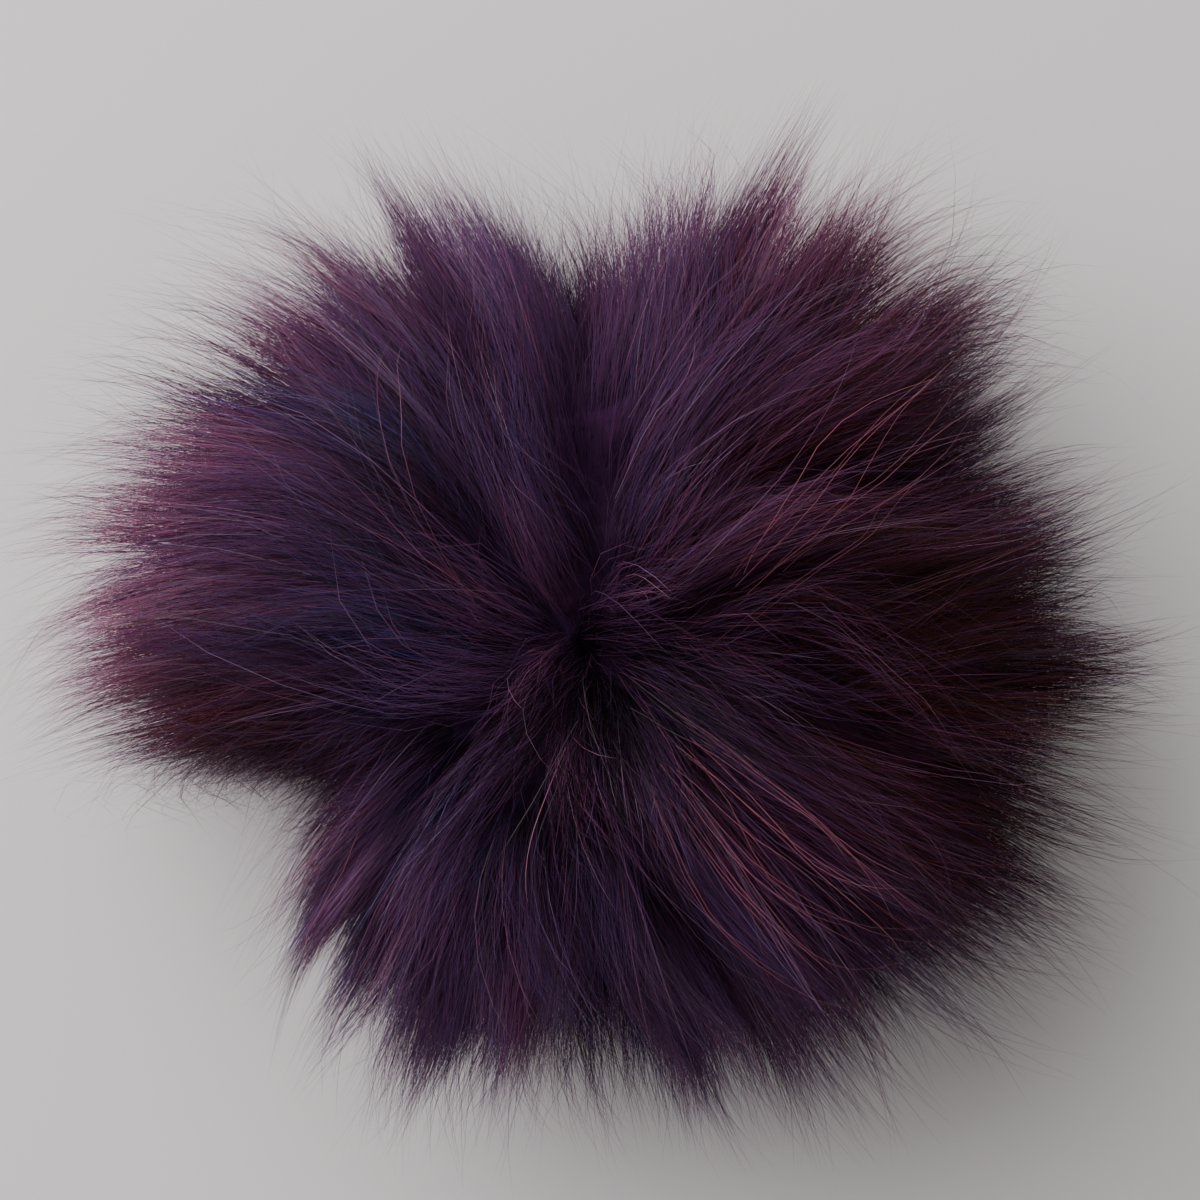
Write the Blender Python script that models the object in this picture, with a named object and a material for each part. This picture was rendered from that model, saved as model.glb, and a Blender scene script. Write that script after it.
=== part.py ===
"""A fur pom pom, about 150 mm across and 100 mm tall, lying on a table.

A disc of long-haired pelt is gathered round its filling into a small ball, and the hair stands out of
it in locks. The hair parts at a crown on top, falls outwards in uneven lobes, and spreads level where
it meets the table. The origin is under the crown, on the table. +Z is up, and all sizes are in metres.
"""

import math
import random

import bmesh
import bpy
from mathutils import Vector

# The pelt ball, which the hair hides: level radius, radius upwards, and height of its middle.
PELT_RADIUS = 0.027
PELT_RISE = 0.030
PELT_MIDDLE = 0.0254

# The hair's reach from the ball's middle: straight up, and the dip where it parts at the crown.
CROWN_REACH = 0.080
CROWN_DIP = 0.20
CROWN_DIP_SPREAD = 8  # degrees

# Each patch of the ball carries this many locks along each of its sides.
PATCH_LOCKS = 7
PATCH_TURN = 19  # degrees
BARE_BELOW = 141  # the ball is bare where it sits, past this angle from straight up on the even ball

# How far the hair reaches sideways from under the crown, lobe by lobe.
LOBES = (
    # bearing in degrees, reach
    (0, 0.0775),
    (28, 0.0715),
    (48, 0.0790),
    (70, 0.0785),
    (91, 0.0640),
    (108, 0.0700),
    (130, 0.0760),
    (155, 0.0805),
    (178, 0.0820),
    (194, 0.0740),
    (207, 0.0520),
    (222, 0.0640),
    (245, 0.0690),
    (272, 0.0670),
    (300, 0.0720),
    (330, 0.0765),
)

# Where the hair points, by where it grows: both are angles from straight up, in degrees.
FALL = (
    # root, tip
    (0, 0),
    (5, 20),
    (20, 38),
    (45, 60),
    (70, 79),
    (90, 92),
    (120, 104),
    (145, 112),
    (180, 126),
)

# How the locks are shared out: where a lock is on an even ball, and where its tip then points.
SHARE_OUT = (
    # on the ball, tip
    (0, 0),
    (60, 46),
    (100, 80),
    (130, 104),
    (145, 112),
    (180, 126),
)

# Where the hair parts: each parting runs between two places and pushes the hair off both its sides.
PARTINGS = (
    # bearing and angle at one end, at the other, half width, push, all in degrees
    (160, 14, 133, 33, 7, 7),
    (352, 12, 0, 44, 8, 5),
    (91, 62, 91, 110, 13, 9),
    (203, 22, 207, 110, 11, 11),
    (266, 45, 266, 110, 11, 7),
)

# How the hair is brushed: each swathe is pushed sideways half way along and at its tip.
SWATHES = (
    # bearing, angle, half widths of both, push half way, push at the tip, all in degrees
    (150, 25, 28, 11, -20, -20),
    (136, 68, 28, 22, 3, 17),
    (176, 82, 22, 26, 2, 9),
    (213, 80, 14, 30, 3, 14),
    (252, 50, 14, 20, 5, 15),
    (40, 50, 28, 30, -4, -8),
)

# Where the hair stands higher or lower than that: the widths are across the hair and along it.
MOUNDS = (
    # bearing, angle, half widths of both, all in degrees, share raised
    (149, 23, 5, 11, -0.15),
    (172, 29, 5, 12, -0.09),
    (178, 50, 8, 12, 0.03),
    (192, 34, 5, 18, -0.11),
    (212, 24, 7, 11, 0.05),
    (214, 12, 6, 6, -0.08),
    (266, 14, 9, 6, -0.08),
    (242, 26, 5, 12, -0.04),
    (263, 23, 4, 7, 0.06),
    (286, 34, 10, 14, 0.05),
    (351, 15, 6, 7, -0.08),
    (13, 38, 8, 16, -0.10),
    (30, 14, 6, 8, 0.04),
    (82, 20, 6, 12, -0.03),
    (338, 26, 5, 12, -0.02),
    (125, 20, 6, 15, 0.10),
    (38, 32, 10, 14, 0.02),
    (318, 28, 9, 18, 0.06),
)

UNDERSIDE_REACH = 0.80  # the reach of the lowest locks, against those at the widest place
SPRING = 0.52  # how far along its way a hair keeps the direction in which it grows
SPRING_DOWN = -0.22  # the steepest that it starts downwards, because the table is in the way
CUSHION = 0.0022  # how soon the table lifts what would sink into it
LEVEL_BELOW = 0.0026  # what comes nearer the table than this lies level on it

# One lock from root to tip: share of its length, and share of its patch that it fills.
LOCK_SECTIONS = (
    # along, width
    (0.20, 0.86),
    (0.46, 0.92),
    (0.72, 0.78),
    (0.89, 0.46),
)
LENGTH_SPREAD = (0.84, 1.0)  # the shortest and the longest lock, against the reach there
LONGEST_EVERY = 5  # one lock in this many reaches all the way
SIDE_LEAN = 0.28  # how far a tip may wander inside its own patch, along each of two sides of it
ROOT_WANDER = 0.16  # how far a corner between four locks strays from an even grid, against its spacing
SEED = 14

PLUM = (0.047, 0.019, 0.066, 1.0)


def smooth_step(share):
    share = min(max(share, 0.0), 1.0)
    return share * share * (3.0 - 2.0 * share)


def read_row(rows, value):
    """The second column of a table of rising rows, read smoothly between two rows."""
    for (start, low), (end, high) in zip(rows, rows[1:]):
        if value <= end:
            return low + (high - low) * smooth_step((value - start) / (end - start))
    return rows[-1][1]


def read_line(rows, value):
    """The second column of a table of rising rows, read in straight lines between two rows."""
    for (start, low), (end, high) in zip(rows, rows[1:]):
        if value <= end:
            return low + (high - low) * (value - start) / (end - start)
    return rows[-1][1]


def side_reach(bearing):
    rows = LOBES + ((LOBES[0][0] + 360, LOBES[0][1]),)
    return read_row(rows, bearing % 360)


def bell(off):
    return math.exp(-off * off)


def direction(bearing, angle):
    """The direction with this bearing and this angle from straight up, in degrees."""
    turn, lean = math.radians(bearing), math.radians(angle)
    return Vector((math.sin(lean) * math.cos(turn), math.sin(lean) * math.sin(turn), math.cos(lean)))


def bearing_angle(way):
    return math.degrees(math.atan2(way.y, way.x)), math.degrees(math.acos(min(max(way.z, -1.0), 1.0)))


def off_parting(way, parting):
    """Which side of a parting a direction is on, how far in half widths, and how much the parting counts there."""
    first, last = direction(*parting[0:2]), direction(*parting[2:4])
    side = first.cross(last).normalized()
    off = math.degrees(math.asin(min(max(way.dot(side), -1.0), 1.0))) / parting[4]
    run = math.degrees(math.atan2(way.dot(side.cross(first)), way.dot(first)))
    length = math.degrees(first.angle(last))
    return side, off, smooth_step((run + 8) / 12) * smooth_step((length + 8 - run) / 12)


def brushed(way, along):
    """The way a hair points when combed: way is where it would point if it weren't."""
    bearing, angle = bearing_angle(way)
    east = direction(bearing + 90, 90)
    moved = Vector()
    for middle, level, across, along_it, push, push_tip in SWATHES:
        off = (bearing - middle + 180) % 360 - 180
        window = bell(off / across) * bell((angle - level) / along_it)
        shift = window * (push * 4 * along * (1 - along) + push_tip * along * (2 * along - 1))
        moved += east * (math.radians(shift) * math.sin(math.radians(angle)))
    for parting in PARTINGS:
        side, off, window = off_parting(way, parting)
        moved += side * math.radians(1.6 * parting[5] * window * off * bell(off) * along)
    return (way + moved).normalized()


def raised(bearing, angle):
    """The share by which the mounds and hollows raise the hair there."""
    share = 0.0
    for middle, level, across, along_it, lift in MOUNDS:
        off = ((bearing - middle + 180) % 360 - 180) * math.sin(math.radians(level))
        share += lift * bell(off / across) * bell((angle - level) / along_it)
    return share


def laid(point):
    """The point lifted as it nears the table, and level on the table where it would all but touch."""
    point.z = (point.z + math.hypot(point.z, 2 * CUSHION)) / 2
    if point.z < LEVEL_BELOW:
        point.z = 0.0
    return point


def hair_point(way, along):
    """Where a hair has got to at a share of its length: way is where its tip points from the ball's middle."""
    bearing, angle = bearing_angle(brushed(way.normalized(), min(along, 1.0)))
    outwards = direction(bearing, 90)
    up = Vector((0.0, 0.0, 1.0))

    root_angle = math.radians(read_line([(tip, root) for root, tip in FALL], angle))
    root = outwards * (PELT_RADIUS * math.sin(root_angle)) + up * (PELT_MIDDLE + PELT_RISE * math.cos(root_angle))

    tip_angle = math.radians(angle)
    reach = 1.0 / math.hypot(math.sin(tip_angle) / side_reach(bearing), math.cos(tip_angle) / CROWN_REACH)
    reach *= 1.0 - CROWN_DIP * bell(angle / CROWN_DIP_SPREAD) + raised(bearing, angle)
    reach *= 1.0 + (UNDERSIDE_REACH - 1.0) * smooth_step((angle - 88) / 26)
    tip = outwards * (reach * math.sin(tip_angle)) + up * (PELT_MIDDLE + reach * math.cos(tip_angle))

    growth = outwards * math.sin(root_angle) + up * max(math.cos(root_angle), SPRING_DOWN)
    spring = root + growth * ((tip - root).length * SPRING)
    return laid(root * (1 - along) ** 2 + spring * (2 * along * (1 - along)) + tip * along**2)


def even_ball(bm):
    """A ball of even quads, as six patches, whose corners stray a little from the grid."""
    bmesh.ops.create_cube(bm, size=2.0)
    bmesh.ops.subdivide_edges(bm, edges=bm.edges[:], cuts=PATCH_LOCKS - 1, use_grid_fill=True)
    wander = random.Random(SEED)
    spacing = math.pi / 2 / PATCH_LOCKS
    turn = direction(PATCH_TURN, 90)
    for vert in bm.verts:
        x, y, z = (math.tan(share * math.pi / 4) for share in vert.co)
        aim = Vector((x * turn.x - y * turn.y, x * turn.y + y * turn.x, z)).normalized()
        stray = Vector([wander.uniform(-1, 1) for _ in range(3)]) * (ROOT_WANDER * spacing)
        vert.co = (aim + stray).normalized()


def grow_lock(bm, patch, corners, lean, length):
    """Draws one patch of the ball out into a four-sided lock that ends in a point."""
    middle = sum((vert[corners] for vert in patch.verts), Vector()) / len(patch.verts)
    for along, width in LOCK_SECTIONS:
        patch = bmesh.ops.extrude_discrete_faces(bm, faces=[patch])["faces"][0]
        for vert in patch.verts:
            aim = middle + (vert[corners] - middle) * width + lean * along**2
            vert.co = hair_point(aim, along * length)
    patch = bmesh.ops.extrude_discrete_faces(bm, faces=[patch])["faces"][0]
    bmesh.ops.pointmerge(bm, verts=patch.verts[:], merge_co=hair_point(middle + lean, length))


def fur_ball():
    bm = bmesh.new()
    even_ball(bm)
    corners = bm.verts.layers.float_vector.new("corner")
    for vert in bm.verts:
        bearing, angle = bearing_angle(vert.co)
        vert[corners] = direction(bearing, read_line(SHARE_OUT, angle))
    lowest = math.cos(math.radians(BARE_BELOW))
    patches = [face for face in bm.faces if face.calc_center_median().normalized().z > lowest]
    for vert in bm.verts:
        vert.co = hair_point(vert[corners], 0.0)

    chance = random.Random(SEED)
    shortest, longest = LENGTH_SPREAD
    for count, patch in enumerate(patches):
        middle = sum((vert[corners] for vert in patch.verts), Vector()) / len(patch.verts)
        first, second = (vert[corners] - middle for vert in patch.verts[:2])
        lean = sum((side * chance.uniform(-SIDE_LEAN, SIDE_LEAN) for side in (first, second)), Vector())
        length = longest if count % LONGEST_EVERY == 0 else chance.uniform(shortest, longest)
        grow_lock(bm, patch, corners, lean, length)

    bm.verts.layers.float_vector.remove(corners)
    bmesh.ops.recalc_face_normals(bm, faces=bm.faces[:])
    mesh = bpy.data.meshes.new("fur_pompom")
    bm.to_mesh(mesh)
    bm.free()
    mesh.shade_smooth()
    mesh.set_sharp_from_angle(angle=math.radians(50))
    return mesh


def dyed_fur():
    """Long dyed fur: a deep plum that is neither matt nor glossy."""
    material = bpy.data.materials.new("dyed fur")
    material.use_nodes = True
    shader = material.node_tree.nodes["Principled BSDF"]
    shader.inputs["Base Color"].default_value = PLUM
    shader.inputs["Roughness"].default_value = 0.55
    shader.inputs["Metallic"].default_value = 0.0
    return material


for old in list(bpy.data.objects):
    bpy.data.objects.remove(old, do_unlink=True)

pompom = bpy.data.objects.new("fur_pompom", fur_ball())
pompom.data.materials.append(dyed_fur())
bpy.context.scene.collection.objects.link(pompom)
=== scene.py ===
"""A dyed fur pom pom lying on a table: a gathered pelt ball, its dense wool, its long underfur and
the sparse guard hair that stands out of it. Metres, +Z up, the origin under the crown on the table.
Throughout, a way is the direction in which a hair's tip would lie from the ball's middle."""

import math

import bmesh
import bpy
import numpy as np
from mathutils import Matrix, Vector, noise


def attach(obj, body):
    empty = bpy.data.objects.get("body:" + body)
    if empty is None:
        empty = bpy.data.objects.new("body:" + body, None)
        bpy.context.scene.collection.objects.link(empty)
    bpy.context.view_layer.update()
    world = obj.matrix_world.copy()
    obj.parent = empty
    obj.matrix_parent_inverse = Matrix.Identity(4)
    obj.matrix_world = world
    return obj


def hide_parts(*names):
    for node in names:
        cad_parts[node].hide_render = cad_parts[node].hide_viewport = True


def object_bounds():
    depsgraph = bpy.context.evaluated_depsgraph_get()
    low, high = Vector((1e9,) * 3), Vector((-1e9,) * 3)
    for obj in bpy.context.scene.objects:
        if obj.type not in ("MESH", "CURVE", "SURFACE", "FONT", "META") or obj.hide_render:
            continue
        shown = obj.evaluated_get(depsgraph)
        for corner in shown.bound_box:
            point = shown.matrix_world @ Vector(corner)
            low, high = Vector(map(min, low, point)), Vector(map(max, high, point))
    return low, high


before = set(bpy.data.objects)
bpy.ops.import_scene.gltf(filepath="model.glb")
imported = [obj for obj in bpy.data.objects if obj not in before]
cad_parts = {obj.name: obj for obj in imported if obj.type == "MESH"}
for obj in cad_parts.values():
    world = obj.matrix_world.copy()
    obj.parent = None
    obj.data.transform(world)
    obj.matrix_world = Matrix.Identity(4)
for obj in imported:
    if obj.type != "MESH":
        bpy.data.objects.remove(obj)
cad_low, cad_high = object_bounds()


# The table top, and the view straight down on it.
# A plain pale board under soft daylight that comes from beyond the ball's upper left side.
TABLE_SIZE = 2.4
TABLE_COLOUR = "e9e5df"
CAMERA_HEIGHT = 0.60
CAMERA_NORTH = 0.0062  # the view's middle lies this far beyond the crown
SEEN_WIDTH = 0.174  # the width of table that the view takes in
SENSOR = 36.0
KEY_FROM = (-0.46, 0.44, 0.62)
KEY_SIZE = 1.0
KEY_POWER = 13.8
KEY_COLOUR = "fbf6ff"
SKY_COLOUR = "f0ecf2"
SKY_STRENGTH = 0.34


def linear(hex_colour):
    """An sRGB hex colour as linear red, green and blue, with an alpha of 1."""
    parts = [int(hex_colour[i : i + 2], 16) / 255 for i in (0, 2, 4)]
    return (*(c / 12.92 if c <= 0.04045 else ((c + 0.055) / 1.055) ** 2.4 for c in parts), 1.0)


def set_inputs(material, node, inputs):
    """Sets a node's sockets, by name or number, each to a value or a link from another one."""
    for socket, value in inputs.items():
        if isinstance(value, bpy.types.NodeSocket):
            material.node_tree.links.new(value, node.inputs[socket])
        else:
            node.inputs[socket].default_value = value


def add_node(material, kind, inputs, **settings):
    """Adds a node with these sockets set. The settings are properties of its own."""
    node = material.node_tree.nodes.new(kind)
    for name, value in settings.items():
        setattr(node, name, value)
    set_inputs(material, node, inputs)
    return node


def new_material(name):
    material = bpy.data.materials.new(name)
    material.use_nodes = True
    return material, material.node_tree.nodes["Principled BSDF"]


def painted_board():
    """Matt painted board: pale and even, so that the fur's outline reads against it."""
    material, shader = new_material("painted_board")
    set_inputs(material, shader, {"Base Color": linear(TABLE_COLOUR), "Roughness": 0.7})
    return material


def show(name, mesh):
    piece = bpy.data.objects.new(name, mesh)
    bpy.context.scene.collection.objects.link(piece)
    return piece


board = bmesh.new()
bmesh.ops.create_grid(board, x_segments=1, y_segments=1, size=TABLE_SIZE / 2)
board_mesh = bpy.data.meshes.new("table_top")
board.to_mesh(board_mesh)
board.free()
table_top = show("table_top", board_mesh)
table_top.data.materials.append(painted_board())

lens = bpy.data.cameras.new("view_from_above")
lens.sensor_width = SENSOR
lens.lens = SENSOR * CAMERA_HEIGHT / SEEN_WIDTH
camera = bpy.data.objects.new("view_from_above", lens)
camera.location = (0.0, CAMERA_NORTH, CAMERA_HEIGHT)
bpy.context.scene.collection.objects.link(camera)
bpy.context.scene.camera = camera

key = bpy.data.lights.new("window_light", "AREA")
key.size = KEY_SIZE
key.energy = KEY_POWER
key.color = linear(KEY_COLOUR)[:3]
window = bpy.data.objects.new("window_light", key)
window.location = KEY_FROM
window.rotation_mode = "QUATERNION"
window.rotation_quaternion = (-Vector(KEY_FROM)).to_track_quat("-Z", "Y")
bpy.context.scene.collection.objects.link(window)

sky = bpy.data.worlds.new("soft_sky")
sky.use_nodes = True
sky.node_tree.nodes["Background"].inputs["Color"].default_value = linear(SKY_COLOUR)
sky.node_tree.nodes["Background"].inputs["Strength"].default_value = SKY_STRENGTH
bpy.context.scene.world = sky


# How the hair lies. It leaves the pelt ball square to it, falls outwards from the crown,
# is brushed sideways in swathes, and lies level where the table is in its way.
PELT_RADIUS = 0.027
PELT_RISE = 0.030  # the pelt ball's half height
PELT_MIDDLE = 0.0254  # the height of its middle above the table
CROWN_REACH = 0.080  # how far the hair reaches straight up from that middle
CROWN_DIP = 0.16  # the share of that reach that is missing where the hair turns out from the crown
CROWN_DIP_SPREAD = math.radians(8)
UNDERSIDE_REACH = 0.80  # the share of its reach that the hair keeps underneath
UNDERSIDE_FROM = 88  # the angle from straight up, in degrees, where it starts to lose the rest
UNDERSIDE_OVER = 26  # and the degrees over which it does
SPRING = 0.52  # the share of its length over which a hair holds the direction it grew in
SPRING_DOWN = -0.22  # how steeply down it may set out
CUSHION = 0.0010  # how thick the hair pressed to the table lies
LIFT = 0.0003  # the least height of anything above the table

# How far the hair reaches sideways from under the crown, lobe by lobe.
LOBES = (
    # bearing in degrees, reach
    (0, 0.0775),
    (28, 0.0715),
    (48, 0.0790),
    (70, 0.0785),
    (91, 0.0640),
    (108, 0.0700),
    (130, 0.0760),
    (155, 0.0805),
    (178, 0.0820),
    (194, 0.0740),
    (207, 0.0520),
    (222, 0.0640),
    (245, 0.0690),
    (272, 0.0670),
    (300, 0.0720),
    (330, 0.0765),
)

# Where the hair points, by where it grows: both are angles from straight up, in degrees.
FALL = (
    # root, tip
    (0, 0),
    (5, 20),
    (20, 38),
    (45, 60),
    (70, 79),
    (90, 92),
    (120, 104),
    (145, 112),
    (180, 126),
)

# Where the hair parts: each parting runs between two places and pushes the hair off both its sides.
PARTINGS = (
    # bearing and angle at one end, at the other, half width, push, all in degrees
    (162, 14, 144, 46, 7, 3),
    (352, 12, 0, 44, 8, 5),
    (91, 62, 91, 110, 13, 9),
    (200, 42, 207, 110, 11, 8),
    (266, 45, 266, 110, 11, 7),
)
PARTING_PAST = 8  # how many degrees past its ends a parting reaches
PARTING_FADE = 12  # the degrees over which it fades there
PARTING_SHARE = 1.6  # scales the push, which is strongest just beside a parting's line

# How the hair is brushed: each swathe is pushed sideways half way along and at its tip.
SWATHES = (
    # bearing, angle, half widths of both, push half way, push at the tip, all in degrees
    (148, 22, 28, 12, -4, -15),
    (136, 68, 28, 22, 3, 16),
    (168, 58, 18, 22, -1, 6),
    (174, 82, 20, 26, 2, 4),
    (116, 36, 10, 16, 2, -7),
    (213, 80, 18, 30, 2, 8),
    (252, 50, 16, 20, 4, 11),
    (276, 40, 18, 16, -1, 11),
    (40, 50, 28, 30, -4, -8),
    (42, 34, 16, 16, 0, -5),
)

# Where the hair stands higher or lower than that: the widths are across the hair and along it.
MOUNDS = (
    # bearing, angle, half widths of both, all in degrees, share raised
    (160, 16, 4, 6, -0.06),
    (154, 23, 5, 9, -0.06),
    (150, 33, 5, 9, -0.06),
    (172, 29, 5, 12, -0.07),
    (178, 50, 8, 12, 0.03),
    (190, 36, 5, 12, -0.09),
    (206, 24, 8, 11, 0.06),
    (214, 10, 5, 5, -0.04),
    (271, 13, 8, 6, -0.10),
    (236, 18, 6, 8, 0.02),
    (261, 24, 5, 10, 0.07),
    (270, 38, 4, 12, -0.03),
    (301, 40, 8, 12, 0.05),
    (348, 17, 5, 6, -0.05),
    (5, 38, 9, 18, -0.09),
    (82, 20, 6, 12, -0.03),
    (336, 33, 4, 8, -0.05),
    (132, 12, 6, 7, 0.06),
    (113, 26, 8, 16, 0.06),
    (38, 32, 10, 14, 0.02),
    (321, 38, 8, 13, 0.08),
)


def unit(vectors):
    return vectors / np.linalg.norm(vectors, axis=-1, keepdims=True)


def smooth_step(share):
    share = np.clip(share, 0.0, 1.0)
    return share * share * (3.0 - 2.0 * share)


def bearing_angle(way):
    """The bearing of a direction and its angle from straight up, in degrees."""
    bearing = np.degrees(np.arctan2(way[..., 1], way[..., 0]))
    return bearing, np.degrees(np.arccos(np.clip(way[..., 2], -1, 1)))


def direction(bearing, angle):
    """The direction with this bearing and this angle from straight up, both in degrees."""
    turn, tilt = np.radians(bearing), np.radians(angle)
    level = np.sin(tilt)
    return np.stack([level * np.cos(turn), level * np.sin(turn), np.cos(tilt)], axis=-1)


def off_bearing(bearing, middle):
    """How far a bearing lies from another, the short way round."""
    return (bearing - middle + 180) % 360 - 180


def round_table(rows, bearing):
    """The second column of a table by bearing, read smoothly all the way round."""
    starts = np.array([row[0] for row in rows] + [rows[0][0] + 360.0])
    sizes = np.array([row[1] for row in rows] + [rows[0][1]])
    turn = bearing % 360
    at = np.clip(np.searchsorted(starts, turn, side="right") - 1, 0, len(rows) - 1)
    share = (turn - starts[at]) / (starts[at + 1] - starts[at])
    return sizes[at] + (sizes[at + 1] - sizes[at]) * smooth_step(share)


def beside_parting(way, parting):
    """Square to a parting, how far a way is off it in half widths, and how much it counts there."""
    first, last, half_width = direction(*parting[0:2]), direction(*parting[2:4]), parting[4]
    side = unit(np.cross(first, last))
    off = np.degrees(np.arcsin(np.clip(way @ side, -1, 1))) / half_width
    run = np.degrees(np.arctan2(way @ np.cross(side, first), way @ first))
    length = math.degrees(math.acos(first @ last))
    starts = smooth_step((run + PARTING_PAST) / PARTING_FADE)
    return side, off, starts * smooth_step((length + PARTING_PAST - run) / PARTING_FADE)


def brushed(way, along):
    """The way hairs point when combed: way is where each would point if it weren't."""
    level = np.stack([-way[..., 1], way[..., 0], 1e-9 + 0 * way[..., 0]], axis=-1)
    east = unit(level)
    bearing, angle = bearing_angle(way)
    moved = np.zeros_like(way)
    for middle, height, width, length, push, push_tip in SWATHES:
        off = off_bearing(bearing, middle)
        window = np.exp(-((off / width) ** 2) - ((angle - height) / length) ** 2)
        # From nothing at the root through the one push half way to the other at the tip.
        shift = window * (push * 4 * along * (1 - along) + push_tip * along * (2 * along - 1))
        moved = moved + east * (np.radians(shift) * np.sin(np.radians(angle)))[..., None]
    for parting in PARTINGS:
        side, off, window = beside_parting(way, parting)
        push = PARTING_SHARE * parting[5]
        shift = push * window * off * np.exp(-off * off) * along
        moved = moved + side * np.radians(shift)[..., None]
    return unit(way + moved)


def raised(bearing, angle):
    """The share by which the mounds and hollows raise the hair there."""
    share = np.zeros_like(bearing)
    for middle, height, width, length, lift in MOUNDS:
        off = off_bearing(bearing, middle) * math.sin(math.radians(height))
        share = share + lift * np.exp(-((off / width) ** 2) - ((angle - height) / length) ** 2)
    return share


def lie(way, along):
    """Where hairs have got to: way is where each points, along the share of its length."""
    bearing, angle = bearing_angle(brushed(unit(way), along))
    turn = np.radians(bearing)
    tip_angle = np.radians(angle)
    roots, tips = zip(*FALL)
    root_angle = np.radians(np.interp(angle, tips, roots))

    root_out = PELT_RADIUS * np.sin(root_angle)
    root_up = PELT_MIDDLE + PELT_RISE * np.cos(root_angle)

    sideways = np.sin(tip_angle) / round_table(LOBES, bearing)
    reach = 1.0 / np.hypot(sideways, np.cos(tip_angle) / CROWN_REACH)
    dip = CROWN_DIP * np.exp(-((tip_angle / CROWN_DIP_SPREAD) ** 2))
    reach *= 1.0 - dip + raised(bearing, angle)
    under = smooth_step((angle - UNDERSIDE_FROM) / UNDERSIDE_OVER)
    reach *= 1.0 + (UNDERSIDE_REACH - 1.0) * under
    tip_out = reach * np.sin(tip_angle)
    tip_up = PELT_MIDDLE + reach * np.cos(tip_angle)

    length = np.hypot(tip_out - root_out, tip_up - root_up) * SPRING
    spring_out = root_out + length * np.sin(root_angle)
    spring_up = root_up + length * np.maximum(np.cos(root_angle), SPRING_DOWN)

    start, bend, end = (1 - along) ** 2, 2 * along * (1 - along), along**2
    out = root_out * start + spring_out * bend + tip_out * end
    height = root_up * start + spring_up * bend + tip_up * end
    height = (height + np.hypot(height, 2 * CUSHION)) / 2  # levels out just above the table
    return np.stack([out * np.cos(turn), out * np.sin(turn), height], axis=-1)


# The dye and painted shade. Most hairs take a shade from navy through violet and plum to pale rose,
# and the rest of them a burgundy, a brown or a black plum: partly the dye's own darker patches, and
# partly painted shade in the pits round the crown, the hollows beside the partings and the shaded
# right side.
DYE_AND_PAINTED_SHADE = (
    # shade, the hair's colour, the colour of its tip
    (0.00, "1c224a", "2c3c78"),
    (0.07, "2c2446", "3c345e"),
    (0.14, "3c294a", "4a365c"),
    (0.28, "472647", "543056"),
    (0.42, "60334e", "76405a"),
    (0.56, "8a4c64", "a2607a"),
    (0.70, "b47086", "cc8ca0"),
    # From here on the darker shades: partly the dye's own burgundy and brown, partly painted shade.
    (0.78, "461a1e", "562226"),
    (0.87, "2a1008", "34160e"),
    (0.94, "180c16", "22121e"),
    (1.00, "140a18", "1c1022"),
)
HAIR_COLUMN, TIP_COLUMN = 1, 2
MAIN_TINT = 0.27  # the shade of most hairs where no other tint is near
LAST_TINT = 0.72  # the last shade before the darker ones, of dye and painted shade
# Most of these are the dye's own colours, such as the navy underneath and the rose of the rims; the
# pale rose tips of the left lobe are partly painted light where they catch it. The shifts close
# round the crown are painted light and shade: violet and lighter shades on the ridge near bearing
# 130 and on the sheaves that catch the light, and a darker one in the hollow at bearing 172.
TINTS = (
    # bearing, angle from straight up, spread, shift
    (172, 76, 23, 0.23),
    (132, 20, 10, -0.04),
    (126, 98, 18, 0.14),
    (122, 44, 13, -0.06),
    (62, 90, 20, 0.24),
    (136, 38, 13, -0.08),
    (75, 22, 12, -0.08),
    (51, 31, 12, 0.11),
    (30, 15, 8, 0.08),
    (251, 20, 7, 0.08),
    (215, 40, 14, -0.05),
    (172, 29, 14, -0.13),
    (285, 104, 20, -0.22),
    (315, 104, 18, -0.20),
    (265, 36, 26, -0.08),
    (290, 34, 9, 0.09),
    (201, 20, 8, 0.10),
    (145, 17, 8, 0.10),
    (129, 28, 7, 0.07),
    (236, 17, 7, 0.06),
    (100, 10, 8, 0.06),
)
FIRST_DARK = 0.77  # the first of the darker shades, partly dye and partly painted shade
DARK_SPREAD = 0.04  # how much the shade of those darker hairs varies
# Where hairs take the darker shades: partly the dye's own burgundy and brown patches, and partly
# painted shade, the darkest in the pits round the crown and the hollows by the ridge and partings,
# and the brown on the shaded right side.
DARK_DYE_AND_SHADE = (
    # bearing, angle from straight up, spread, share of the hairs, shade of the dye
    (9, 46, 26, 0.9, 0.87),
    (345, 70, 28, 0.8, 0.86),
    (48, 54, 16, 0.6, 0.84),
    (40, 78, 16, 0.5, 0.84),
    (194, 62, 13, 0.85, 0.82),
    (123, 42, 11, 0.5, 0.94),
    (143, 38, 9, 0.75, 0.92),
    (165, 27, 9, 0.5, 0.95),
    (193, 32, 8, 0.4, 0.92),
    (51, 6, 5, 0.5, 0.97),
    (156, 22, 5, 0.8, 0.98),
    (205, 9, 7, 0.9, 0.97),
    (300, 6, 6, 0.7, 0.97),
    (268, 13, 8, 0.95, 0.97),
    (353, 13, 6, 0.8, 0.97),
    (36, 11, 7, 0.2, 0.97),
    (233, 29, 7, 0.55, 0.92),
    (256, 32, 6, 0.75, 0.97),
    (330, 100, 18, 0.5, 0.86),
    (329, 38, 9, 0.4, 0.80),
)


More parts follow.
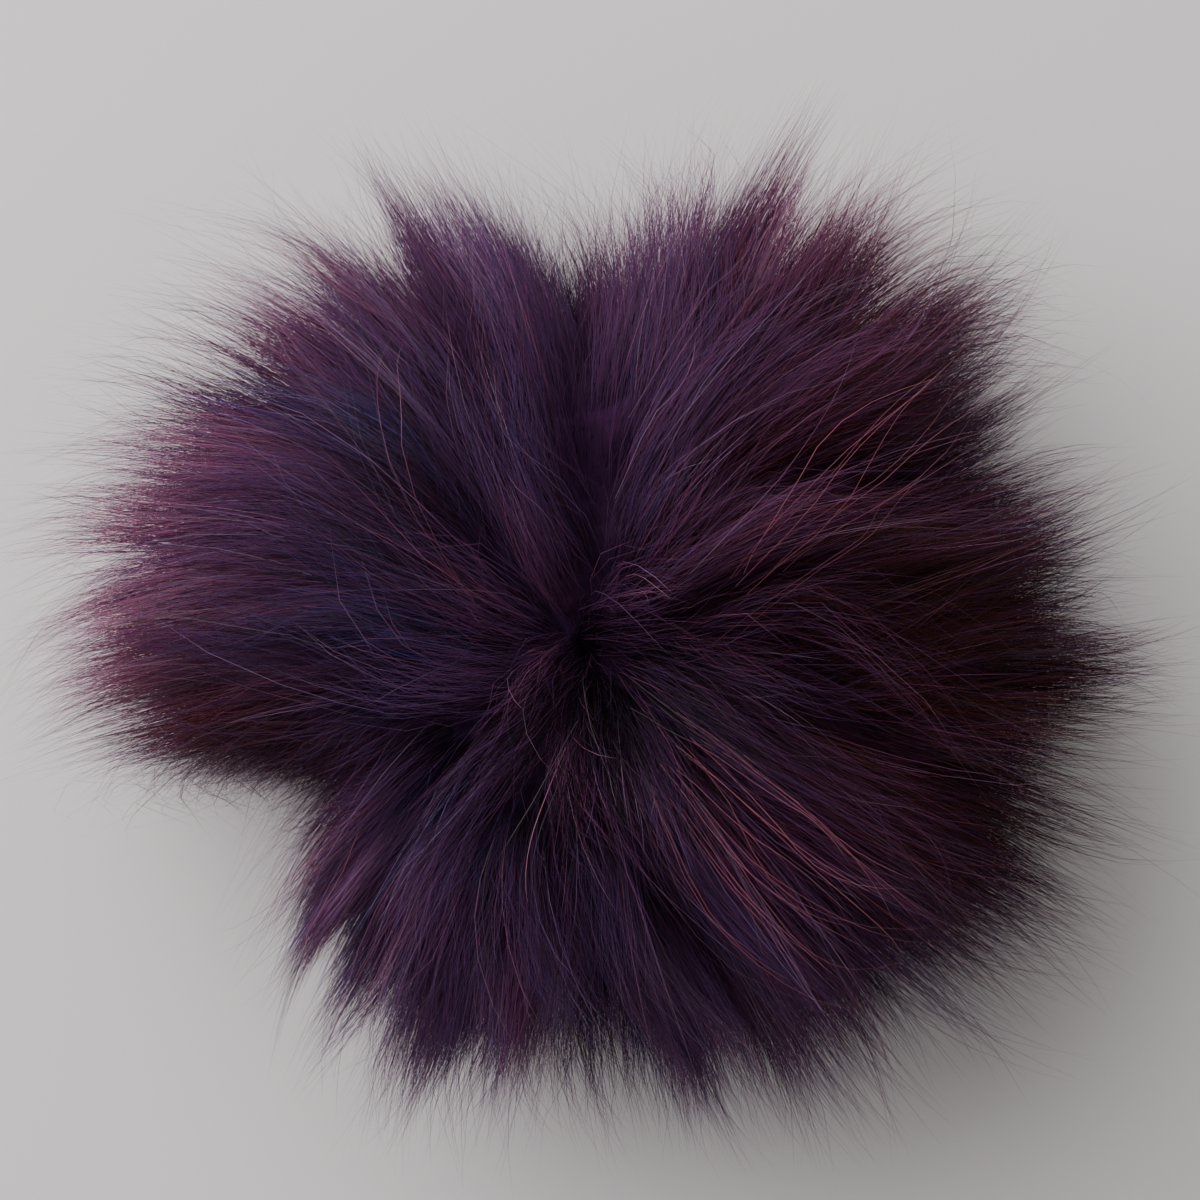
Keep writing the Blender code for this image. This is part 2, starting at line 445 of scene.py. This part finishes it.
def window_at(way, middle, height, spread):
    """How near a direction is to this bearing and angle, from 1 down to 0."""
    bearing, angle = bearing_angle(way)
    off = off_bearing(bearing, middle) * np.sin(np.radians(angle))
    return np.exp(-(off**2 + (angle - height) ** 2) / spread**2)


def region_tint(way):
    """The main shade by where a hair points: mostly the dye's, with painted light and shade in
    places.
    """
    return MAIN_TINT + sum(shift * window_at(way, *place) for *place, shift in TINTS)


def dark_share(way):
    """The share of the hairs there that take the darker shades: partly dye, partly painted shade.
    """
    left = [1 - share * window_at(way, *place) for *place, share, _ in DARK_DYE_AND_SHADE]
    return 1 - np.prod(left, axis=0)


def dye_ramp(material, shade, dye_and_shading, column):
    """The colours of a dye table's column, by a shade from 0 to 1."""
    ramp = add_node(material, "ShaderNodeValToRGB", {"Fac": shade})
    stops = ramp.color_ramp.elements
    for number, row in enumerate(dye_and_shading):
        stop = stops[number] if number < 2 else stops.new(row[0])
        stop.position = row[0]
        stop.color = linear(row[column])
    return ramp.outputs["Color"]


# The dense underwool: short crimped hair so close that it shows as one soft mass, dyed with the
# pelt that it grows on. Longer hair grows out of it all over, and it is what fills the partings.
WOOL_DEPTH = 0.56  # the share of the hair's length that the wool takes up
WOOL_CROWN = 0.54  # that share at the crown
WOOL_CROWN_SPREAD = 30  # degrees from the crown to where it is WOOL_DEPTH
WOOL_PARTING = 0.10  # how much less it is along a parting
WOOL_SUBDIVISIONS = 6
WOOL_LOWEST = 126  # the angle from straight up, in degrees, to which the wool is drawn down
WOOL_LUMP = 0.03  # the share of the hair's length by which its lumps stand out
WOOL_LUMPS = (
    # weight, lumps across the ball's radius, lumps along a degree, seed
    (1.0, 12.0, 0.03, 3.0),
    (0.7, 34.0, 0.05, 8.0),
    (0.3, 80.0, 0.08, 15.0),
)
WOOL_STREAK = 0.0005  # the width of a combed streak round the ball's widest place
WOOL_STREAKS_ALONG = 0.08  # combed streaks along a degree
WOOL_DARKENED = 0.6  # how much of the wool's light is lost where only the darker shades are, partly dye and partly painted shade
NARROWEST = 0.05  # keeps the combed noise from pinching to a point at the crown
SHEEN_TINT = "8a68c4"


def wool_share(way):
    """How much of the hair's length the underwool takes up, by where it grows."""
    angle = bearing_angle(way)[1]
    share = WOOL_CROWN + (WOOL_DEPTH - WOOL_CROWN) * smooth_step(angle / WOOL_CROWN_SPREAD)
    for parting in PARTINGS:
        _, off, window = beside_parting(way, parting)
        share = share - WOOL_PARTING * window * np.exp(-2 * off * off)
    return share


def combed_noise(way, across_scale, along_scale, seed):
    """Noise drawn out from the crown outwards: fine across the hair and long along it."""
    bearing, angle = bearing_angle(way)
    turn = np.radians(bearing)
    level = np.maximum(np.sin(np.radians(angle)), NARROWEST) * across_scale
    drawn = angle * along_scale + seed
    rows = np.stack([np.cos(turn) * level, np.sin(turn) * level, drawn], axis=-1)
    return np.array([noise.noise(Vector(row)) for row in rows])


def combed_underwool():
    """Dyed underwool: matt and very soft, with fine streaks combed from the crown outwards, lighter
    on its lumps, and darker between them and where the darker shades lie, partly dye and partly
    painted shade.
    """
    material, shader = new_material("combed_underwool")
    dye_and_shading = add_node(material, "ShaderNodeAttribute", {}, attribute_name="dye_and_shading")
    wool_lightness = add_node(material, "ShaderNodeAttribute", {}, attribute_name="wool_lightness")
    combed = add_node(material, "ShaderNodeAttribute", {}, attribute_name="combed")
    fine = add_node(
        material,
        "ShaderNodeTexNoise",
        {"Vector": combed.outputs["Vector"], "Scale": 1.0, "Detail": 3.0, "Roughness": 0.7},
    )
    both = add_node(
        material,
        "ShaderNodeMath",
        {0: wool_lightness.outputs["Fac"], 1: fine.outputs["Fac"]},
        operation="ADD",
    )
    light = add_node(
        material,
        "ShaderNodeMapRange",
        {"Value": both.outputs[0], "From Min": 0.4, "From Max": 1.6, "To Min": 0.3, "To Max": 0.75},
    )
    colour = dye_ramp(material, dye_and_shading.outputs["Fac"], DYE_AND_PAINTED_SHADE, HAIR_COLUMN)
    final = add_node(
        material, "ShaderNodeHueSaturation", {"Color": colour, "Value": light.outputs["Result"]}
    )
    bump = add_node(
        material,
        "ShaderNodeBump",
        {"Height": fine.outputs["Fac"], "Strength": 0.6, "Distance": 0.0004},
    )
    looks = {
        "Base Color": final.outputs["Color"],
        "Normal": bump.outputs["Normal"],
        "Roughness": 0.95,
        "Specular IOR Level": 0.05,
        "Sheen Weight": 0.1,
        "Sheen Tint": linear(SHEEN_TINT),
    }
    set_inputs(material, shader, looks)
    return material


wool = bmesh.new()
bmesh.ops.create_icosphere(wool, subdivisions=WOOL_SUBDIVISIONS, radius=1.0)
bearings, angles = bearing_angle(np.array([vert.co for vert in wool.verts]))
ways = direction(bearings, angles * WOOL_LOWEST / 180)
lumps = sum(weight * combed_noise(ways, *scales) for weight, *scales in WOOL_LUMPS)
for vert, place in zip(wool.verts, lie(ways, wool_share(ways) + WOOL_LUMP * lumps)):
    vert.co = place
    vert.co.z = max(vert.co.z, LIFT)
wool_mesh = bpy.data.meshes.new("underwool")
wool.to_mesh(wool_mesh)
wool.free()
wool_mesh.shade_smooth()
# The wool is lighter on its lumps and darker between them, and darker where the darker shades lie:
# partly dye, partly painted shade.
wool_light = (0.5 + 0.5 * lumps) * (1 - WOOL_DARKENED * dark_share(ways))
for name, values in (("dye_and_shading", region_tint(ways)), ("wool_lightness", wool_light)):
    layer = wool_mesh.attributes.new(name, "FLOAT", "POINT")
    layer.data.foreach_set("value", np.clip(values, 0, 1).astype(np.float32))
turn, level = np.radians(bearings), np.sin(np.radians(angles * WOOL_LOWEST / 180))
streaks = CROWN_REACH / WOOL_STREAK
combed = np.stack(
    [np.cos(turn) * level * streaks, np.sin(turn) * level * streaks, angles * WOOL_STREAKS_ALONG],
    axis=-1,
)
layer = wool_mesh.attributes.new("combed", "FLOAT_VECTOR", "POINT")
layer.data.foreach_set("vector", combed.astype(np.float32).ravel())
underwool = show("underwool", wool_mesh)
underwool.data.materials.append(combed_underwool())
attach(underwool, "root")
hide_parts("fur_pompom")


# The underfur: soft, fine, close hair, dyed on the pelt, which gives the ball its bulk. It grows
# out of the pelt in locks, each of many tufts, each of many hairs that gather to a point. The
# first layer stands loose, and the other two are drawn together.
UNDERFUR_LAYERS = (
    # how far its tufts gather to a point, how far towards their lock, lengths
    ((0.10, 0.60), 0.2, (0.68, 0.98)),
    ((0.55, 0.98), 0.5, (0.74, 1.06)),
    ((0.55, 0.98), 0.5, (0.74, 1.08)),
)
UNDERFUR_HALF_WIDTH = 0.000045
UNDERFUR_STEPS = 4
UNDERFUR_SEED = 100
LAYER_SEEDS = 10  # the seeds of a layer and of the next one differ by this
LOWEST = 113  # the angle from straight up, in degrees, of the lowest hair
PAST_BOX = 0.007  # how far past the solid's box a hair may reach

# Locks, and the tufts in them. A jitter is how far they are shifted from an even spread, against
# their spacing. A lean is how far off their own way they grow, and a tint how much shades differ.
LOCKS = 200
LOCK_SEED = 11
LOCK_JITTER = 0.9
LOCK_LEAN = 0.06
LOCK_LENGTHS = (0.90, 1.05)
LOCK_TINT = 0.03
LOCK_ROUND = 4.0  # how much more the sides of a lock face sideways than its middle
TUFT_JITTER = 1.2
TUFT_TINT = 0.06
TUFT_ROUND = 5.0

# How hair differs from the top to the sides, and from hair to hair.
SIDE_FROM = 38  # the angle from straight up, in degrees, where the sides begin
SIDE_OVER = 34  # and the degrees over which the top turns into them
CROWN_LONG = 0.05  # how much more of the full length the hair on top has
RAGGED = 1.0  # how much more the lengths of tufts differ round the sides than on top
FEW_LONG = 2.0  # how much rarer long hairs are than short ones
LEAST_SHOWN = 0.2  # every hair has at least this share of the fur's depth
HAIR_TINT = 0.04
HAIR_TURN = 0.08  # how much the way that hairs face differs
TAPER = 0.8  # below 1, so that a hair stays wide for longer and thins late

# How hair takes the light and the dye.
HAIR_ROUND = 0.3  # how far a strand's edges are lit as if they faced sideways
HAIR_SOFT = 0.8  # how far a strand is lit as the surface under it is
NEAR_TIP = 0.92  # where along the hair that surface is measured
NEXT_WAY = 0.04  # and across to hairs this far away
DYE_COLUMNS = 192  # hairs share this many shades, side by side across the map
COLUMN_EDGE = 0.3  # how far from the middle of its column a hair's edge lies in the map
MAP_START, MAP_LENGTH = 0.01, 0.98  # where hairs start up the map, and how much of it they take


def east_south(way):
    """The two directions square to each way: level, and down from the crown."""
    east = unit(np.cross([0.0, 0.0, 1.0], way) + 1e-6)
    return east, np.cross(east, way)


def outward(way):
    """The way the fur's surface faces where hairs point this way."""
    east, south = east_south(way)
    tip = lie(way, NEAR_TIP)
    down = lie(way + NEXT_WAY * south, NEAR_TIP) - tip
    return unit(np.cross(down, lie(way + NEXT_WAY * east, NEAR_TIP) - tip))


def even_ways(count, chance, jitter):
    """Directions spread evenly from straight up down to the lowest hair, each shifted a little."""
    place = np.arange(count) + 0.5
    up = 1 - (1 - math.cos(math.radians(LOWEST))) * place / count
    turn = place * math.pi * (3 - math.sqrt(5))
    level = np.sqrt(1 - up * up)
    ways = np.stack([level * np.cos(turn), level * np.sin(turn), up], axis=-1)
    return unit(ways + chance.normal(size=(count, 3)) * jitter / math.sqrt(count))


def across(chance, way, spread):
    """Random offsets square to each direction, within this radius."""
    offset = chance.normal(size=way.shape)
    offset -= way * np.sum(offset * way, axis=-1, keepdims=True)
    return unit(offset) * (spread * np.sqrt(chance.random(len(way))))[:, None]


def curled(path, bow, hook, t):
    """The path with a bow in its middle and a hook at its tip, where t is the share along it."""
    return path + bow[:, None] * np.sin(math.pi * t)[..., None] + hook[:, None] * (t**2)[..., None]


def shades(chance, way, tint):
    """Each hair's shade: its tuft's tint, or where the darker shades lie, the one there, partly dye
    and partly painted shade.
    """
    near = np.array([share * window_at(way, *place) for *place, share, _ in DARK_DYE_AND_SHADE])
    darker = np.array([row[-1] for row in DARK_DYE_AND_SHADE])[np.argmax(near, axis=0)]
    darker = darker + chance.normal(size=len(way)) * DARK_SPREAD
    darkened = chance.random(len(way)) < dark_share(way)
    return np.where(darkened, np.clip(darker, FIRST_DARK, 1), np.clip(tint, 0, LAST_TINT))


def strands(name, points, half_width, column, facing):
    """One mesh of flat tapering strands, each ending in a point. Each takes a column of the map."""
    count, steps, _ = points.shape
    tangent = unit(np.gradient(points, axis=1))
    side = unit(np.cross(tangent, facing[:, None, :]))
    normal = unit(np.cross(side, tangent)) + HAIR_SOFT * unit(facing)[:, None, :]
    per = 2 * (steps - 1) + 1
    verts = np.empty((count, per, 3), np.float32)
    verts[:, 0:-1:2] = (points - side * half_width[..., None])[:, :-1]
    verts[:, 1:-1:2] = (points + side * half_width[..., None])[:, :-1]
    verts[:, -1] = points[:, -1]
    verts[..., 2] = np.maximum(verts[..., 2], LIFT)

    normals = np.empty((count, per, 3), np.float32)
    normals[:, 0:-1:2] = unit(normal - side * HAIR_ROUND)[:, :-1]
    normals[:, 1:-1:2] = unit(normal + side * HAIR_ROUND)[:, :-1]
    normals[:, -1] = normal[:, -1]

    rung = np.arange(steps - 2) * 2
    quads = np.stack([rung, rung + 1, rung + 3, rung + 2], axis=-1).ravel()
    last = 2 * (steps - 2)
    corners = np.concatenate([quads, [last, last + 1, last + 2]])
    sizes = np.array([4] * (steps - 2) + [3])
    starts = np.concatenate([[0], np.cumsum(sizes)[:-1]])

    share = np.concatenate([np.repeat(np.linspace(0, 1, steps)[:-1], 2), [1.0]])
    edge = np.concatenate([np.tile([-COLUMN_EDGE, COLUMN_EDGE], steps - 1), [0.0]])
    u = (column[:, None] + 0.5 + edge[None, :]) / DYE_COLUMNS
    v = np.broadcast_to(MAP_START + MAP_LENGTH * share, u.shape)

    mesh = bpy.data.meshes.new(name)
    mesh.vertices.add(count * per)
    mesh.vertices.foreach_set("co", verts.ravel())
    loops = (corners[None, :] + (np.arange(count) * per)[:, None]).ravel()
    mesh.loops.add(len(loops))
    mesh.loops.foreach_set("vertex_index", loops.astype(np.int32))
    mesh.polygons.add(count * len(sizes))
    begin = (starts[None, :] + (np.arange(count) * len(corners))[:, None]).ravel()
    mesh.polygons.foreach_set("loop_start", begin.astype(np.int32))
    mesh.update(calc_edges=True)
    uv = np.stack([u.ravel()[loops], v.ravel()[loops]], axis=-1)
    layer = mesh.uv_layers.new(name="OFBake")
    layer.uv.foreach_set("vector", uv.astype(np.float32).ravel())
    mesh.shade_smooth()
    mesh.normals_split_custom_set_from_vertices(normals.reshape(-1, 3))
    return mesh


def dyed_hair(name, dye_and_shading, tip_from, root_dye_and_shade, uneven, roughness, shine, sheen):
    """Dyed animal hair: soft and slightly glossy, darker at its root, partly dye and partly painted
    shade of the fur's depth, and paler at its tip. Each column of the map is one dye shade, which
    runs from root to tip up the map."""
    material, shader = new_material(name)
    place = add_node(material, "ShaderNodeUVMap", {}, uv_map="OFBake")
    split = add_node(material, "ShaderNodeSeparateXYZ", {"Vector": place.outputs["UV"]})
    to_tip = add_node(
        material,
        "ShaderNodeMapRange",
        {"Value": split.outputs["Y"], "From Min": tip_from, "From Max": 1.0},
        interpolation_type="SMOOTHSTEP",
    )
    colours = {  # the mix node's sockets 6 and 7, and 2 further down, are the ones for colours
        "Factor": to_tip.outputs["Result"],
        6: dye_ramp(material, split.outputs["X"], dye_and_shading, HAIR_COLUMN),
        7: dye_ramp(material, split.outputs["X"], dye_and_shading, TIP_COLUMN),
    }
    dyed = add_node(material, "ShaderNodeMix", colours, data_type="RGBA")

    column = add_node(
        material,
        "ShaderNodeMath",
        {0: split.outputs["X"], 1: float(DYE_COLUMNS)},
        operation="MULTIPLY",
    )
    whole = add_node(material, "ShaderNodeMath", {0: column.outputs[0]}, operation="FLOOR")
    chance = add_node(
        material, "ShaderNodeTexWhiteNoise", {"W": whole.outputs[0]}, noise_dimensions="1D"
    )
    varied = add_node(
        material,
        "ShaderNodeMapRange",
        {"Value": chance.outputs["Value"], "To Min": 1.0 - uneven, "To Max": 1.0 + uneven},
    )
    # Darker towards the root: partly the dye, partly painted shade of the fur's depth.
    from_root = add_node(
        material,
        "ShaderNodeMapRange",
        {"Value": split.outputs["Y"], "From Max": 0.6, "To Min": root_dye_and_shade, "To Max": 1.0},
    )
    light = add_node(
        material,
        "ShaderNodeMath",
        {0: varied.outputs["Result"], 1: from_root.outputs["Result"]},
        operation="MULTIPLY",
    )
    final = add_node(
        material,
        "ShaderNodeHueSaturation",
        {"Color": dyed.outputs[2], "Value": light.outputs[0]},
    )
    looks = {
        "Base Color": final.outputs["Color"],
        "Roughness": roughness,
        "Specular IOR Level": shine,
        "Sheen Weight": sheen,
        "Sheen Roughness": 0.4,
        "Sheen Tint": linear(SHEEN_TINT),
    }
    set_inputs(material, shader, looks)
    return material


chance = np.random.default_rng(LOCK_SEED)
lock_ways = even_ways(LOCKS, chance, LOCK_JITTER)
lock_leans = chance.normal(size=(LOCKS, 3)) * LOCK_LEAN
lock_lengths = chance.uniform(*LOCK_LENGTHS, LOCKS)
lock_tints = chance.normal(size=LOCKS) * LOCK_TINT


def hairs(
    count, tufts, seed, spread, gather, lock_gather, lengths, tuft_lengths, lean, curl, steps, sunk,
    outer=0.0,
):
    """Points along hairs that grow in tufts, each tuft drawn towards its lock, with each hair's
    shade and facing. outer is how much closer together they grow round the sides than on top."""
    chance = np.random.default_rng(seed)
    tuft_ways = even_ways(tufts, chance, TUFT_JITTER)
    tuft_lock = np.argmax(tuft_ways @ lock_ways.T, axis=1)
    side = smooth_step((bearing_angle(tuft_ways)[1] - SIDE_FROM) / SIDE_OVER)
    longer = (chance.uniform(*tuft_lengths, tufts) - 1) * (1 + RAGGED * side)
    tuft_length = (1 + longer) * lock_lengths[tuft_lock]
    tuft_length *= 1 + CROWN_LONG * (1 - side)
    tuft_lean = chance.normal(size=(tufts, 3)) * lean + lock_leans[tuft_lock]
    tuft_tint = region_tint(tuft_ways) + chance.normal(size=tufts) * TUFT_TINT
    tuft_tint = tuft_tint + lock_tints[tuft_lock]
    tuft_gather = chance.uniform(*gather, tufts)
    weight = 1 + outer * side
    pick = chance.choice(tufts, count, p=weight / weight.sum())
    way = tuft_ways[pick]
    offset = across(chance, way, spread)
    bow, hook = chance.normal(size=(2, count, 3)) * curl
    shortest, longest = lengths
    length = shortest + (longest - shortest) * chance.random(count) ** FEW_LONG
    length = length * tuft_length[pick]
    start = np.minimum(wool_share(unit(way + offset)) - sunk, length - LEAST_SHOWN)

    # Each hair comes up out of the wool, is drawn to its lock and to its tuft, leans and curls.
    t = np.linspace(0.0, 1.0, steps)[None, :]
    grown = (start[:, None] + (length - start)[:, None] * t)[..., None]
    lock = lock_ways[tuft_lock[pick]]
    bent = way[:, None] + (lock - way)[:, None] * (lock_gather * grown**1.5)
    gathered = tuft_gather[pick][:, None, None] * np.minimum(grown, 1) ** 2
    bent = bent + offset[:, None] * (1 - gathered)
    bent = bent + tuft_lean[pick][:, None] * grown**2
    bent = curled(bent, bow, hook, t)
    points = lie(bent, grown[..., 0])
    tint = shades(chance, way, tuft_tint[pick] + chance.normal(size=count) * HAIR_TINT)
    facing = outward(unit(bent[:, -1])) + LOCK_ROUND * (way - lock) + TUFT_ROUND * offset
    facing = facing + chance.normal(size=(count, 3)) * HAIR_TURN
    return points, tint, facing


def taper(steps, root, widest):
    """The share of its width that a hair has along it, from its root over its widest place."""
    t = np.linspace(0, 1, steps)
    return np.where(t < widest, root + (1 - root) * t / widest, (1 - t) / (1 - widest)) ** TAPER


def fit(name, points, half_width, tint, facing, material):
    """Makes the hairs one piece of the ball. Hairs that would stray too far are cut out."""
    low, high = np.array(cad_low) - PAST_BOX, np.array(cad_high) + PAST_BOX
    inside = np.all((points > low) & (points < high), axis=(1, 2))
    points, tint, facing = points[inside], tint[inside], facing[inside]
    column = np.clip(np.round(tint * (DYE_COLUMNS - 1)), 0, DYE_COLUMNS - 1)
    half = half_width * np.ones((len(points), 1))
    piece = show(name, strands(name, points, half, column, facing))
    piece.data.materials.append(material)
    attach(piece, "root")
    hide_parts("fur_pompom")


underfur_dye = dyed_hair(
    "dyed_underfur", DYE_AND_PAINTED_SHADE, tip_from=0.5, root_dye_and_shade=0.45, uneven=0.24, roughness=0.7, shine=0.1,
    sheen=0.02,
)
underfur_width = UNDERFUR_HALF_WIDTH * taper(UNDERFUR_STEPS, root=1.0, widest=0.34)
for layer, (gather, lock_gather, lengths) in enumerate(UNDERFUR_LAYERS):
    points, tint, facing = hairs(
        count=34000, tufts=2200, seed=UNDERFUR_SEED + layer * LAYER_SEEDS, spread=0.055,
        gather=gather, lock_gather=lock_gather, lengths=lengths, tuft_lengths=(0.90, 1.08),
        lean=0.02, curl=0.022, steps=UNDERFUR_STEPS, sunk=0.06,
    )
    fit(f"underfur_{layer}", points, underfur_width, tint, facing, underfur_dye)


# The top coat: single finer hairs of the same pelt and dye, which come up out of the underfur and
# lie along the top of it. It is thin: about 99 in 100 of the hairs tried are left out, because
# they would kink where they come up. Their arcs are short for so deep a rise.
TOP_COAT_TRIED = 15000  # in each of the two layers, of which about 170 are kept
TOP_COAT_HALF_WIDTH = 0.000038
TOP_COAT_STEPS = 6
TOP_COAT_SEED = 500
TOP_COAT_ARC = (5, 17)  # how far the hairs run along the top, in degrees
TOP_COAT_CURL = 0.16  # how far they curl, as a share of that
TOP_COAT_RISE = (-0.13, -0.02)  # how far above full length their tips are: they lie just below
TOP_COAT_TINT = 0.05
LAID_FROM = 6  # degrees from straight up: the crown itself is left open
LAID_TO = 74  # hairs lie along the top of the others down to this angle, and hang free below
LAID_FADE = 40  # the degrees over which they get shorter towards it
LAID_CROWDED = 0.75  # 0.5 would spread them about evenly, and more crowds them at the crown
LAID_DEEP = 0.16  # how deep their roots start, as a share of the fur's reach
LAID_UP = 0.35  # the share of their length over which they come up
LAID_TURN = 0.1  # how much the way that they face differs from hair to hair
FLOW_FROM = 0.9  # the fur's run is read from here to its tips
SMALL_TURN = 0.01  # and from hairs this far to the side of it
MOST_BEND = math.cos(math.radians(30))  # laid hairs that bend more between steps are left out


def dot(one, other):
    return (one * other).sum(-1)


def laid(way, arc, steps):
    """Directions along hairs that lie on top of the rest, each following the hair under it."""
    path = [way]
    arc = arc * smooth_step((LAID_TO - bearing_angle(way)[1]) / LAID_FADE)
    for _ in range(steps - 1):
        east, south = east_south(way)
        tip = lie(way, 1.0)
        flow = tip - lie(way, FLOW_FROM)
        over = lie(way + SMALL_TURN * east, 1.0) - tip
        down = lie(way + SMALL_TURN * south, 1.0) - tip
        # The turn east and south that comes nearest to the run of the hair there.
        turn_east = dot(over, flow) * dot(down, down) - dot(down, flow) * dot(over, down)
        turn_south = dot(down, flow) * dot(over, over) - dot(over, flow) * dot(over, down)
        turn = unit(np.stack([turn_east, turn_south], axis=-1)) * (arc / (steps - 1))[:, None]
        way = unit(way + turn[:, :1] * east + turn[:, 1:] * south)
        path.append(way)
    return np.stack(path, axis=1)


def top_ways(count, chance):
    """Directions scattered over the top of the ball, closest together at the crown."""
    bearing = chance.uniform(0, 360, count)
    down = chance.random(count) ** LAID_CROWDED
    return direction(bearing, LAID_FROM + (LAID_TO - LAID_FROM) * down)


def laid_hairs(way, arc, tint, seed, curl, rise, steps):
    """Points along hairs that come up out of the fur and lie along the top of it, with each one's
    shade and facing. Those that would kink are left out, which is most of the short ones."""
    chance = np.random.default_rng(seed)
    count = len(way)
    bow, hook = chance.normal(size=(2, count, 3)) * (curl * np.radians(arc))[:, None]
    t = np.linspace(0.0, 1.0, steps)[None, :]
    path = curled(laid(way, np.radians(arc), steps), bow, hook, t)
    top = 1.0 + chance.uniform(*rise, count)[:, None] * t
    points = lie(path, top - LAID_DEEP * (1 - smooth_step(t / LAID_UP)))
    facing = outward(unit(path[:, steps // 2])) + chance.normal(size=(count, 3)) * LAID_TURN
    run = unit(np.diff(points, axis=1))
    even = np.min(dot(run[:, 2:], run[:, 1:-1]), axis=1) > MOST_BEND
    return points[even], tint[even], facing[even]


top_coat_width = TOP_COAT_HALF_WIDTH * taper(TOP_COAT_STEPS, root=0.6, widest=0.4)
for layer in range(2):
    seed = TOP_COAT_SEED + layer * LAYER_SEEDS
    chance = np.random.default_rng(seed)
    way = top_ways(TOP_COAT_TRIED, chance)
    arc = chance.uniform(*TOP_COAT_ARC, TOP_COAT_TRIED)
    tint = region_tint(way) + chance.normal(size=TOP_COAT_TRIED) * TOP_COAT_TINT
    tint = shades(chance, way, tint)
    points, tint, facing = laid_hairs(
        way, arc, tint, seed + 1, TOP_COAT_CURL, TOP_COAT_RISE, TOP_COAT_STEPS
    )
    fit(f"top_coat_{layer}", points, top_coat_width, tint, facing, underfur_dye)


# The guard hair on top: long stray hairs of the same pelt, glossier and paler at their ends, and
# thin pink bunches of them, which lie over the fur where they have come loose. About one in four
# of those tried is kept, and the others would kink.
# Its last three rows are the darker shades, partly dye and partly painted shade, which the stray
# hairs take where the underfur does.
GUARD_DYE_AND_PAINTED_SHADE = (
    # shade, the hair's colour, the colour of its tip
    (0.00, "33305c", "6a74a4"),
    (0.20, "4e3458", "8a6c90"),
    (0.40, "6a3850", "a07488"),
    (0.70, "a05866", "c88c92"),
    (0.78, "4a1a26", "7a3440"),
    (0.87, "30141a", "54282e"),
    (1.00, "1c0e18", "2c1822"),
)
GUARD_SEED = 900
STRAYS = 300  # tried
STRAY_ARC = (8, 26)  # how far the stray hairs run along the top, in degrees
STRAY_TINT = 0.1
STRAY_HALF_WIDTH = 0.000045
STRAY_STEPS = 10
STRAY_CURL = 0.07
STRAY_RISE = (-0.03, 0.03)  # some stand just above the fur
BUNCHES = (
    # bearing and angle where it comes up, hairs tried, arc in degrees, how pink
    (21, 20, 9, 34, 0.95),
    (323, 14, 9, 26, 0.9),
    (299, 19, 10, 26, 0.95),
    (245, 15, 5, 18, 0.3),
    (164, 17, 4, 22, 0.7),
    (113, 31, 6, 22, 1.0),
    (213, 39, 6, 20, 1.0),
    (250, 13, 4, 16, 0.9),
    (3, 17, 5, 30, 0.8),
    (16, 40, 6, 22, 0.75),
    (325, 30, 5, 20, 0.3),
)
BUNCH_SPREAD = 0.06
BUNCH_ARCS = (0.5, 1.2)  # the shares of a bunch's arc that its hairs have
BUNCH_TINT = 0.05
PINK = 0.7  # the shade of the pinkest hairs

guard_dye = dyed_hair(
    "dyed_guard_hair", GUARD_DYE_AND_PAINTED_SHADE, tip_from=0.6, root_dye_and_shade=0.5, uneven=0.2, roughness=0.4,
    shine=0.3, sheen=0.05,
)
chance = np.random.default_rng(GUARD_SEED)
way = top_ways(STRAYS, chance)
arc = chance.uniform(*STRAY_ARC, STRAYS)
tint = shades(chance, way, region_tint(way) + chance.normal(size=STRAYS) * STRAY_TINT)
bunch = np.repeat(np.arange(len(BUNCHES)), [row[2] for row in BUNCHES])
rows = np.array(BUNCHES, dtype=float)[bunch]
bunch_way = direction(rows[:, 0], rows[:, 1])
bunch_way = unit(bunch_way + across(chance, bunch_way, BUNCH_SPREAD))
bunch_arc = rows[:, 3] * chance.uniform(*BUNCH_ARCS, len(rows))
bunch_tint = PINK * rows[:, 4] + chance.normal(size=len(rows)) * BUNCH_TINT
way = np.concatenate([way, bunch_way])
arc = np.concatenate([arc, bunch_arc])
tint = np.concatenate([tint, np.clip(bunch_tint, 0, PINK)])
points, tint, facing = laid_hairs(
    way, arc, tint, GUARD_SEED + 1, STRAY_CURL, STRAY_RISE, STRAY_STEPS
)
stray_width = STRAY_HALF_WIDTH * taper(STRAY_STEPS, root=0.7, widest=0.4)
fit("guard_hair_top", points, stray_width, tint, facing, guard_dye)


# The guard hair that stands out: the same long, sparse, glossy hair, rooted in the pelt all over.
# It ends in thin bunches past the underfur, and so makes the ball's soft ragged edge.
GUARD_HALF_WIDTH = 0.00005
GUARD_STEPS = 8
points, tint, facing = hairs(
    count=6400, tufts=620, seed=GUARD_SEED, spread=0.045, gather=(0.75, 0.98), lock_gather=0.4,
    lengths=(0.88, 1.14), tuft_lengths=(0.94, 1.12), lean=0.04, curl=0.02, steps=GUARD_STEPS,
    sunk=0.1, outer=2.5,
)
guard_width = GUARD_HALF_WIDTH * taper(GUARD_STEPS, root=0.8, widest=0.4)
fit("guard_hair", points, guard_width, tint, facing, guard_dye)
